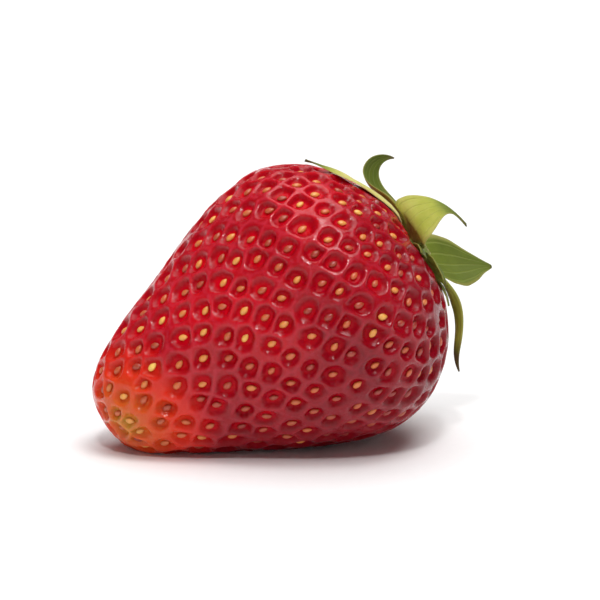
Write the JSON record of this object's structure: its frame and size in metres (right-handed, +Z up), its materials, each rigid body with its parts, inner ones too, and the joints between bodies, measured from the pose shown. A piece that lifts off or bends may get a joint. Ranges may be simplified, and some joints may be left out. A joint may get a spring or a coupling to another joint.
{
  "type": "strawberry",
  "caption": "Fresh whole strawberry lying on its side: a conic red fruit set with seed pits, and a green calyx of sepals and bractlets on its crown.",
  "frame": {"origin": "middle of the small flat spot that the fruit rests on", "axes": "+Z up, away from the surface; +X from the fruit's tip towards its crown and calyx, along the surface; -Y towards the viewer's side"},
  "size_m": [0.0558, 0.0375, 0.0389],
  "materials": {
    "fruit_skin": "moist, glossy ripe strawberry skin, deep red, orange to yellow-green at the tip",
    "sepal": "soft, slightly hairy green leaf, paler on the side towards the fruit, dry brown tips",
    "calyx_core": "pale green, finely hairy",
    "achene": "smooth golden-yellow seeds, reddish brown in places"
  },
  "bodies": {
    "root": {"fruit": "fruit_skin", "calyx_disc": "calyx_core", "stem_stub": "calyx_core", "sepal_upper_back": "sepal", "sepal_upper_front": "sepal", "sepal_front": "sepal", "sepal_lower": "sepal", "sepal_lower_back": "sepal", "bractlet_upper": "sepal", "bractlet_front": "sepal", "bractlet_lower_front": "sepal", "bractlet_lower_back": "sepal", "bractlet_back": "sepal"}
  },
  "joints": []
}
